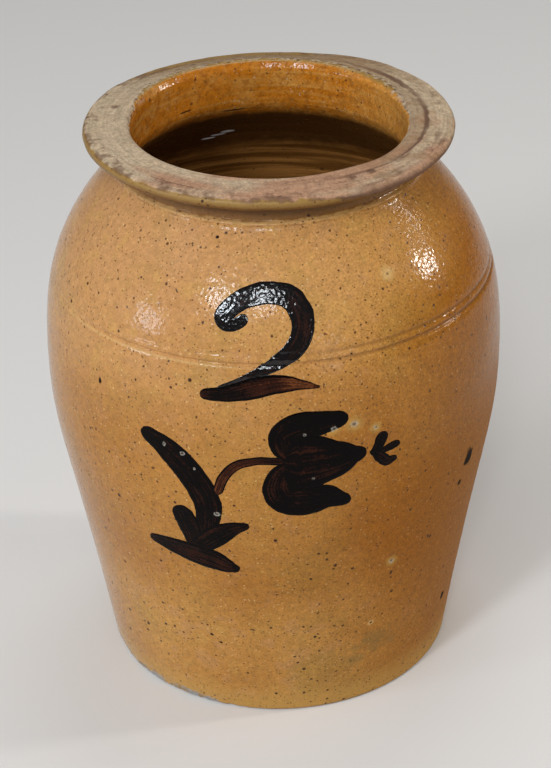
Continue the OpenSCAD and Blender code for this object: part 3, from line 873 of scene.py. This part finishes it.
def brush_stroke(name, centre, marks, lift, thin, slip):
    """One stroke: a strip laid along its path row by row, pressed onto the jar and thickened."""
    path = eased_bends(brush_path(centre, marks))
    bpy.ops.object.select_all(action="DESELECT")
    bpy.ops.mesh.primitive_grid_add(
        x_subdivisions=BRISTLES, y_subdivisions=len(path) - 1, size=1,
        location=(0, -BRUSH_STAND, 0), rotation=(math.pi / 2, 0, 0),
    )
    strip = bpy.context.object
    strip.name = strip.data.name = name + "_slip"
    bpy.ops.object.transform_apply(location=True, rotation=True)
    strip.data.uv_layers[0].name = "brush"
    length = sum((b[0] - a[0]).length for a, b in zip(path, path[1:]))
    for vertex in strip.data.vertices:
        vertex.co.x = 0.5 * math.sin(math.pi * vertex.co.x)
    for loop, corner in zip(strip.data.loops, strip.data.uv_layers["brush"].data):
        corner.uv.x = 0.5 + strip.data.vertices[loop.vertex_index].co.x
        corner.uv.y *= length / STREAK_LENGTH
    thinness = strip.data.attributes.new("thin", "FLOAT", "POINT")
    for vertex in strip.data.vertices:
        share = vertex.index // COLUMNS / (len(path) - 1) * (len(thin) - 1)
        i = min(int(share), len(thin) - 2)
        thinness.data[vertex.index].value = thin[i] + (thin[i + 1] - thin[i]) * (share - i)
    bpy.ops.object.mode_set(mode="EDIT")
    for i, (middle, half, way) in enumerate(path):
        start = Vector((0, -BRUSH_STAND, i / (len(path) - 1) - 0.5))
        choose_rows(strip, (i,))
        bpy.ops.transform.resize(value=(2 * half, 1, 1))
        turn = SPIN_SIGN * math.atan2(way.x, way.y)
        bpy.ops.transform.rotate(value=turn, orient_axis="Y", center_override=start)
        bpy.ops.transform.translate(value=(middle.x - start.x, 0, middle.y - start.z))
    bpy.ops.object.mode_set(mode="OBJECT")
    for direction in ("X", "Z"):
        bpy.ops.object.modifier_add(type="DISPLACE")
        push = strip.modifiers[-1]
        push.direction = direction
        push.strength = RAGGED_DEPTH
        push.texture = ragged_edge
        bpy.ops.object.modifier_apply(modifier=push.name)
    bpy.ops.object.modifier_add(type="SHRINKWRAP")
    press = strip.modifiers[-1]
    press.target = jar
    press.wrap_method = "PROJECT"
    press.use_project_y = True
    bpy.ops.object.modifier_apply(modifier=press.name)
    bpy.ops.object.mode_set(mode="EDIT")
    bpy.ops.mesh.select_all(action="SELECT")
    bpy.ops.transform.shrink_fatten(value=-SLIP_SINK)
    for depth, share in SLIP_CROWN:
        choose_inner(strip, depth)
        bpy.ops.transform.shrink_fatten(value=(lift + SLIP_SINK) * share)
    bpy.ops.object.mode_set(mode="OBJECT")
    bpy.ops.object.modifier_add(type="SOLIDIFY")
    skin = strip.modifiers[-1]
    skin.thickness = SLIP_SKIN
    skin.offset = -1
    bpy.ops.object.modifier_apply(modifier=skin.name)
    bpy.ops.object.shade_smooth_by_angle(angle=SMOOTH_ANGLE)
    strip.data.materials.append(slip)
    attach(strip, "root")
    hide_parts(name)


def iron_slip(name, shine):
    """Slip that thins to brown between the bristles' marks, under a glaze of some shine."""
    slip = bpy.data.materials.new(name)
    slip.use_nodes = True
    s = slip.node_tree
    place = put(s, "TexCoord").outputs["Object"]
    brush = put(s, "UVMap", uv_map="brush").outputs[0]
    across, along = put(s, "SeparateXYZ", Vector=brush).outputs[:2]
    height_z = put(s, "SeparateXYZ", Vector=place).outputs[2]
    hairs = put(s, "CombineXYZ", X=times(s, across, 17.0), Y=times(s, along, 0.55))
    feed(s, hairs.inputs["Z"], times(s, height_z, 9.0))
    streaks = noise(s, hairs.outputs[0], 1, 3)
    thinness = put(s, "Attribute", attribute_name="thin").outputs["Fac"]
    pools = noise(s, place, 130, 3)
    peel = noise(s, place, 640, 0.5)
    swell = noise(s, place, 200, 0.0)
    mottle = noise(s, place, 330, 3)
    grain = noise(s, place, 1000, 2)
    edge = calc(s, "ABSOLUTE", calc(s, "MULTIPLY_ADD", across, 2.0, -1.0))
    cover = calc(s, "ADD", calc(s, "MULTIPLY_ADD", pools, 0.45, streaks), thinness)
    cover = calc(s, "MULTIPLY_ADD", grain, 0.45, cover)
    cover = calc(s, "MULTIPLY_ADD", rising(s, edge, 0.60, 0.90), -0.5, cover)
    ink = tint(s, rising(s, cover, 1.06, 1.34), INK, IRON_BROWN)
    ink = tint(s, times(s, rising(s, cover, 1.36, 1.68), 0.85), ink, THIN_WASH)
    ink = tint(s, times(s, rising(s, edge, 0.94, 1.0), 0.6), ink, IRON_BROWN)
    pit_gap = nearest(s, crooked(s, place, 700, 0.35 * MM), PITS)
    pit_gap = calc(s, "MULTIPLY_ADD", calc(s, "SUBTRACT", pools, 0.5), 0.5, pit_gap)
    ink = pitted(s, ink, pit_gap, grain)
    height = calc(s, "ADD", times(s, peel, 0.19 * MM), times(s, swell, 0.15 * MM))
    height = calc(s, "MULTIPLY_ADD", streaks, 0.02 * MM, height)
    height = calc(s, "MULTIPLY_ADD", rising(s, pit_gap, 0.9, 0.3), -0.2 * MM, height)
    shader = s.nodes["Principled BSDF"]
    feed(s, shader.inputs["Base Color"], ink)
    feed(s, shader.inputs["Normal"], put(s, "Bump", Height=height, Distance=1.0).outputs[0])
    feed(s, shader.inputs["Roughness"], between(s, mottle, 0.07, 0.18))
    shader.inputs["Specular IOR Level"].default_value = shine
    return slip


ragged_edge = bpy.data.textures.new("ragged_edge", "CLOUDS")
ragged_edge.noise_scale = RAGGED_SIZE
numeral_slip = iron_slip("numeral_iron_slip", NUMERAL_SHINE)
dull_slip = iron_slip("dull_iron_slip", DULL_SHINE)
brush_stroke("numeral_bow", NUMERAL_PLACE, BOW_MARKS, BOW_LIFT, BOW_THIN, numeral_slip)
brush_stroke("numeral_foot", NUMERAL_PLACE, FOOT_MARKS, FOOT_LIFT, FOOT_THIN, dull_slip)

# Sprig's leaves: four strokes of the same slip, pulled towards the foot of the sprig, and
# the thin stem that carries the flower. Each stroke has its marks, how far it stands off the
# wall in millimetres, and how thin the slip lies along it.
SPRIG_PLACE = Vector((-2, LINE_Z / MM - 74))
LEAVES = {
    "long_leaf": ([(-57.4, 31.4, 8.4), (-49.6, 26.2, 12.2), (-41, 17.2, 14), (-34.4, 6.8, 13.8),
                   (-31, -4, 13), (-32, -17, 10)], 0.12, (0.0, 0.08, 0.12, 0.12, 0.2)),
    "small_leaf": ([(-43.6, -10.8, 10), (-40.4, -19, 10.4), (-37.8, -28, 9)], 0.15, (0.05, 0.1, 0.15)),
    "right_leaf": ([(-34, -28, 11), (-27, -21.2, 12.4), (-19.5, -16.2, 7.8), (-14, -14.2, 4.2)],
                   0.18, (0.1, 0.15, 0.05)),
    "low_leaf": ([(-57.4, -33.2, 5.6), (-50, -34.3, 9.2), (-40, -36, 12.4), (-30, -38.4, 12.8),
                  (-22.5, -41.6, 8.4), (-20, -42.4, 5.6)], 0.21, (0.05, 0.15, 0.22, 0.25, 0.1)),
    "stem": ([(-26, 7, 4.4), (-23, 15.2, 4.6), (-17, 22.2, 4.4), (-7, 25.2, 3.8), (6, 24.8, 3.6)],
             0.10, (0.5, 0.45, 0.35, 0.3, 0.15)),
}
for name, (marks, lift, thin) in LEAVES.items():
    brush_stroke(name, SPRIG_PLACE, marks, lift * MM, thin, dull_slip)

# Flower: two curled petals and the heart between them, with three small dabs at its tip.
# They are strokes of the same slip, laid one over the other at the end of the stem.
FLOWER = {
    "upper_petal": ([(31.3, 44.8, 8.6), (21, 43.8, 13), (12, 42.6, 15), (5.4, 38.6, 13.4),
                     (5, 32.6, 10.5), (8.6, 27, 8)], 0.14, (-0.1, 0.0, 0.15, 0.2)),
    "lower_petal": ([(33.4, -0.8, 7), (25, 2.2, 14.4), (15, 1.4, 17.2), (6, 2.8, 16.4), (2.2, 8.8, 14),
                     (4, 16.4, 12), (8, 21, 8)], 0.17, (-0.1, 0.0, 0.2, 0.25)),
    "heart_petal": ([(10.4, 23.5, 30), (13, 23.2, 30), (17, 23.4, 30), (23, 23.5, 27.4), (30, 23.4, 21.2),
                     (36.3, 23.9, 15), (40, 24.2, 8.4)], 0.20, (0.1, 0.14, 0.05, -0.05)),
    "bud_top": ([(48.4, 22.8, 3.6), (50.6, 26.4, 4.8), (52, 30.2, 5.4)], 0.12, (0.05, 0.1)),
    "bud_side": ([(53, 22.8, 2.6), (56.2, 23.6, 3.8), (58.8, 24.2, 3.6)], 0.14, (0.15, 0.1)),
    "bud_low": ([(47.2, 23.4, 1.6), (50.6, 20.2, 5), (54.2, 16.2, 5), (57.4, 16.2, 3.2)],
                0.16, (0.05, 0.2)),
}
for name, (marks, lift, thin) in FLOWER.items():
    brush_stroke(name, SPRIG_PLACE, marks, lift * MM, thin, dull_slip)

# Studio floor: a plain pale sheet of paper that the jar stands on. It shows pale to the
# camera and in the glaze, and throws little light back up at the wall.
PAPER = (0.80, 0.775, 0.74, 1)
PAPER_BOUNCE = (0.54, 0.51, 0.46, 1)
PAPER_ROUGHNESS = 0.9
PAPER_SIZE = 40
bpy.ops.mesh.primitive_plane_add(size=PAPER_SIZE)
floor = bpy.context.object
floor.name = "floor"
paper = bpy.data.materials.new("pale_paper")
paper.use_nodes = True
p = paper.node_tree
sight = put(p, "LightPath")
seen = calc(p, "MAXIMUM", sight.outputs["Is Camera Ray"], sight.outputs["Is Glossy Ray"])
seen = calc(p, "MAXIMUM", seen, sight.outputs["Is Transmission Ray"])
matt = p.nodes["Principled BSDF"]
feed(p, matt.inputs["Base Color"], tint(p, seen, PAPER_BOUNCE, PAPER))
matt.inputs["Roughness"].default_value = PAPER_ROUGHNESS
floor.data.materials.append(paper)

# Light: an even pale room with soft round panels about the jar. The small ones glint in the
# glaze and the slip, and the large ones light the wall, the throat and the rim.
ROOM_COLOUR = (0.95, 0.97, 1.0, 1)
ROOM_STRENGTH = 0.19
LIT_POINT = Vector((0, 0, 0.18))
WARM = (1, 0.97, 0.92)
world = bpy.data.worlds.new("studio")
bpy.context.scene.world = world
world.use_nodes = True
room = world.node_tree.nodes["Background"]
room.inputs["Color"].default_value = ROOM_COLOUR
room.inputs["Strength"].default_value = ROOM_STRENGTH


def panel(name, turn, rise, distance, size, power, colour=(1, 1, 1), mirrored=True):
    """A soft panel of light that faces the jar, by its turn from the front to the right and its rise."""
    turn, rise = math.radians(turn), math.radians(rise)
    way = Vector((math.sin(turn) * math.cos(rise), -math.cos(turn) * math.cos(rise), math.sin(rise)))
    lamp = bpy.data.lights.new(name, "AREA")
    lamp.shape = "ELLIPSE"
    lamp.size, lamp.size_y = size
    lamp.energy = power
    lamp.color = colour
    holder = bpy.data.objects.new(name, lamp)
    bpy.context.scene.collection.objects.link(holder)
    holder.location = LIT_POINT + way * distance
    holder.rotation_euler = way.to_track_quat("Z", "Y").to_euler()
    holder.visible_glossy = mirrored


panel("right_lamp", 93, 19, 1.7, (0.17, 0.21), 7.4, WARM)
panel("right_lamp_top", 103, 28, 1.7, (0.12, 0.12), 1.0, WARM)
panel("left_window", -65, 12, 2.0, (0.45, 0.42), 7.6, (0.80, 0.88, 1))
panel("ceiling_left", -31, 34.5, 2.2, (0.31, 0.38), 14, (0.85, 0.92, 1))
panel("ceiling_middle", -4, 35, 2.2, (0.29, 0.32), 8.5, (0.90, 0.95, 1))
panel("ceiling_back", 170, 62, 2.2, (1.3, 0.9), 9)
panel("side_window", -72, 46, 2.4, (1.3, 1.2), 3.4)
panel("key", -22, 53, 2.4, (1.2, 1.2), 10.5, mirrored=False)
panel("front_right", 29, 12, 2.4, (0.18, 0.18), 1.2)
bpy.context.scene.view_settings.view_transform = "Standard"

# Camera: a long lens at the photo's place, height and tilt, a little above the jar and
# looking down at its painted front.
CAMERA_PLACE = Vector((0, -1.0637, 0.7675))
CAMERA_YAW = math.radians(0.179)
CAMERA_PITCH = math.radians(30.444)
CAMERA_ROLL = math.radians(-1.201)
SENSOR_W = 36
LENS = 112.5
SHIFT = (-0.0074, -0.001)
aim = Euler((math.pi / 2 - CAMERA_PITCH, 0, -CAMERA_YAW)).to_matrix()
aim = aim @ Matrix.Rotation(CAMERA_ROLL, 3, "Z")
camera = bpy.data.objects.new("camera", bpy.data.cameras.new("camera"))
bpy.context.scene.collection.objects.link(camera)
camera.matrix_world = Matrix.Translation(CAMERA_PLACE) @ aim.to_4x4()
camera.data.sensor_width = SENSOR_W
camera.data.lens = LENS
camera.data.shift_x, camera.data.shift_y = SHIFT
bpy.context.scene.camera = camera
